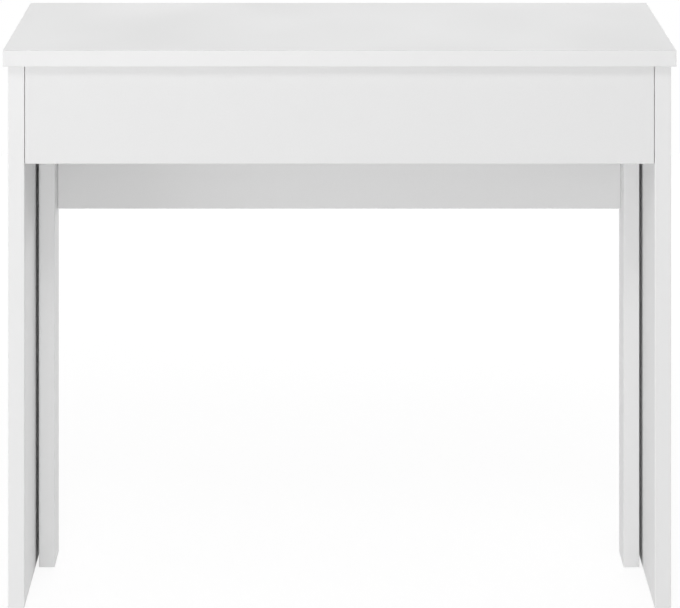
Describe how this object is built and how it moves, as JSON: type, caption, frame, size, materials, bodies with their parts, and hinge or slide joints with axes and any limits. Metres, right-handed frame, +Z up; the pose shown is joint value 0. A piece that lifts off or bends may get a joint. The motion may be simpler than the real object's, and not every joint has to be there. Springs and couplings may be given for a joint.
{
  "type": "extendable console table",
  "caption": "White panel-leg console table whose apron-fronted leaf and inner legs pull out on ball-bearing slides to deepen the worktop.",
  "frame": {"origin": "on the floor, in the middle of the top's width and depth", "axes": "+X to the right along the top, +Y from the front to the back, +Z up"},
  "size_m": [0.9, 0.36, 0.75],
  "materials": {
    "white_melamine": "satin",
    "zinc_plated_steel": "zinc plated",
    "zinc_alloy": "die cast",
    "beech": "raw",
    "white_plastic": "moulded",
    "grey_rubber": "matt"
  },
  "bodies": {
    "frame": {"table_top": "white_melamine", "left_side_panel": "white_melamine", "right_side_panel": "white_melamine", "back_rail": "white_melamine", "left_cabinet_member": "zinc_plated_steel", "right_cabinet_member": "zinc_plated_steel", "cabinet_member_screws": "zinc_plated_steel", "frame_cam_locks": "zinc_alloy", "frame_cam_bolts": "zinc_plated_steel", "frame_dowels": "beech", "panel_glides": "white_plastic", "closing_buffers": "grey_rubber"},
    "extension": {"front_apron": "white_melamine", "extension_leaf": "white_melamine", "left_side_board": "white_melamine", "right_side_board": "white_melamine", "rear_tie_rail": "white_melamine", "left_inner_leg": "white_melamine", "right_inner_leg": "white_melamine", "stretcher_rail": "white_melamine", "left_leg_plate": "zinc_plated_steel", "right_leg_plate": "zinc_plated_steel", "leg_plate_screws": "zinc_plated_steel", "left_drawer_member": "zinc_plated_steel", "right_drawer_member": "zinc_plated_steel", "drawer_member_screws": "zinc_plated_steel", "extension_cam_locks": "zinc_alloy", "extension_cam_bolts": "zinc_plated_steel", "extension_dowels": "beech", "leg_glides": "white_plastic"},
    "middle_members": {"left_middle_member": "zinc_plated_steel", "right_middle_member": "zinc_plated_steel"},
    "outer_ball_cages": {"left_outer_ball_cage": "zinc_plated_steel", "left_outer_balls": "zinc_plated_steel", "right_outer_ball_cage": "zinc_plated_steel", "right_outer_balls": "zinc_plated_steel"},
    "inner_ball_cages": {"left_inner_ball_cage": "zinc_plated_steel", "left_inner_balls": "zinc_plated_steel", "right_inner_ball_cage": "zinc_plated_steel", "right_inner_balls": "zinc_plated_steel"}
  },
  "joints": [
    {"name": "extension_slide", "type": "slide", "parent": "frame", "child": "extension", "axis": [0, -1, 0], "range_m": [0, 0.28]},
    {"name": "middle_member_slide", "type": "slide", "parent": "frame", "child": "middle_members", "axis": [0, -1, 0], "range_m": [0, 0.14]},
    {"name": "outer_cage_slide", "type": "slide", "parent": "frame", "child": "outer_ball_cages", "axis": [0, -1, 0], "range_m": [0, 0.07]},
    {"name": "inner_cage_slide", "type": "slide", "parent": "frame", "child": "inner_ball_cages", "axis": [0, -1, 0], "range_m": [0, 0.21]}
  ],
  "couplings": [
    {"joint": "middle_member_slide", "follows": "extension_slide", "ratio": 0.5},
    {"joint": "outer_cage_slide", "follows": "extension_slide", "ratio": 0.25},
    {"joint": "inner_cage_slide", "follows": "extension_slide", "ratio": 0.75}
  ]
}
